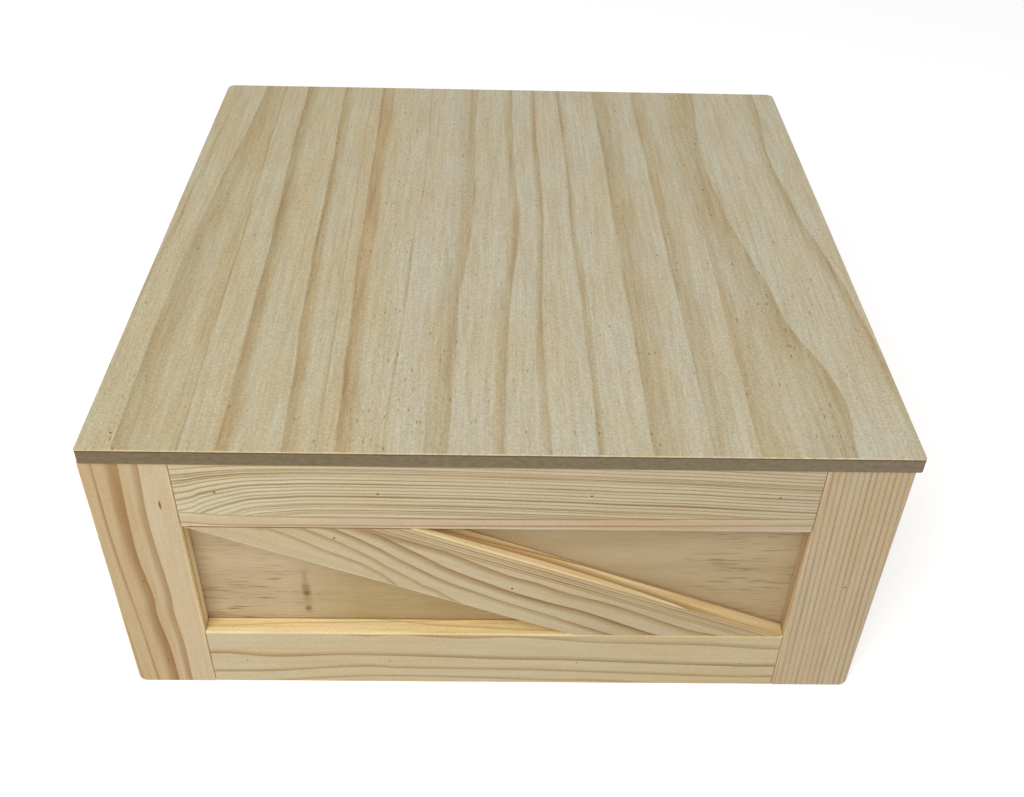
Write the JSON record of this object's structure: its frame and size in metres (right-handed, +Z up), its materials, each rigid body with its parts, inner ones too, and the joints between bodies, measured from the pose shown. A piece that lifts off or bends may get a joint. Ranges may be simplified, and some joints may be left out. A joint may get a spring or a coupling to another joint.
{
  "type": "wooden keepsake box",
  "caption": "Square low pine box for papers and keepsakes, with strip frames, a diagonal front brace and a flat hinged lid that swings back to open it.",
  "frame": {"origin": "middle of the underside, on the surface that the box stands on", "axes": "+X to the right as seen from the front, +Y from the front to the hinges, +Z up"},
  "size_m": [0.3019, 0.3052, 0.1316],
  "materials": {
    "pine_strip": "planed, unfinished",
    "pine_plywood": "sanded, unfinished",
    "fibreboard": "sawn edge",
    "pine_veneer": "sanded, unfinished",
    "bright_steel": "drawn wire",
    "brass": "rolled, satin",
    "brass_screw": "turned"
  },
  "bodies": {
    "box": {"front_panel": "pine_plywood", "back_panel": "pine_plywood", "left_panel": "pine_plywood", "right_panel": "pine_plywood", "bottom_panel": "pine_plywood", "front_left_stile": "pine_strip", "front_right_stile": "pine_strip", "front_top_rail": "pine_strip", "front_bottom_rail": "pine_strip", "front_brace": "pine_strip", "back_left_stile": "pine_strip", "back_right_stile": "pine_strip", "back_top_rail": "pine_strip", "back_bottom_rail": "pine_strip", "left_front_stile": "pine_strip", "left_back_stile": "pine_strip", "left_top_rail": "pine_strip", "left_bottom_rail": "pine_strip", "right_front_stile": "pine_strip", "right_back_stile": "pine_strip", "right_top_rail": "pine_strip", "right_bottom_rail": "pine_strip", "front_frame_pins": "bright_steel", "back_frame_pins": "bright_steel", "left_frame_pins": "bright_steel", "right_frame_pins": "bright_steel", "corner_pins": "bright_steel", "bottom_pins": "bright_steel", "left_hinge_fixed_leaf": "brass", "left_hinge_pin": "brass", "right_hinge_fixed_leaf": "brass", "right_hinge_pin": "brass", "hinge_body_screws": "brass_screw"},
    "lid": {"lid_core": "fibreboard", "lid_top_veneer": "pine_veneer", "lid_bottom_veneer": "pine_veneer", "left_hinge_moving_leaf": "brass", "right_hinge_moving_leaf": "brass", "hinge_lid_screws": "brass_screw"}
  },
  "joints": [
    {"name": "lid_hinge", "type": "hinge", "parent": "box", "child": "lid", "pos_m": [0, 0.1526, 0.1239], "axis": [-1, 0, 0], "range_deg": [0, 180]}
  ]
}
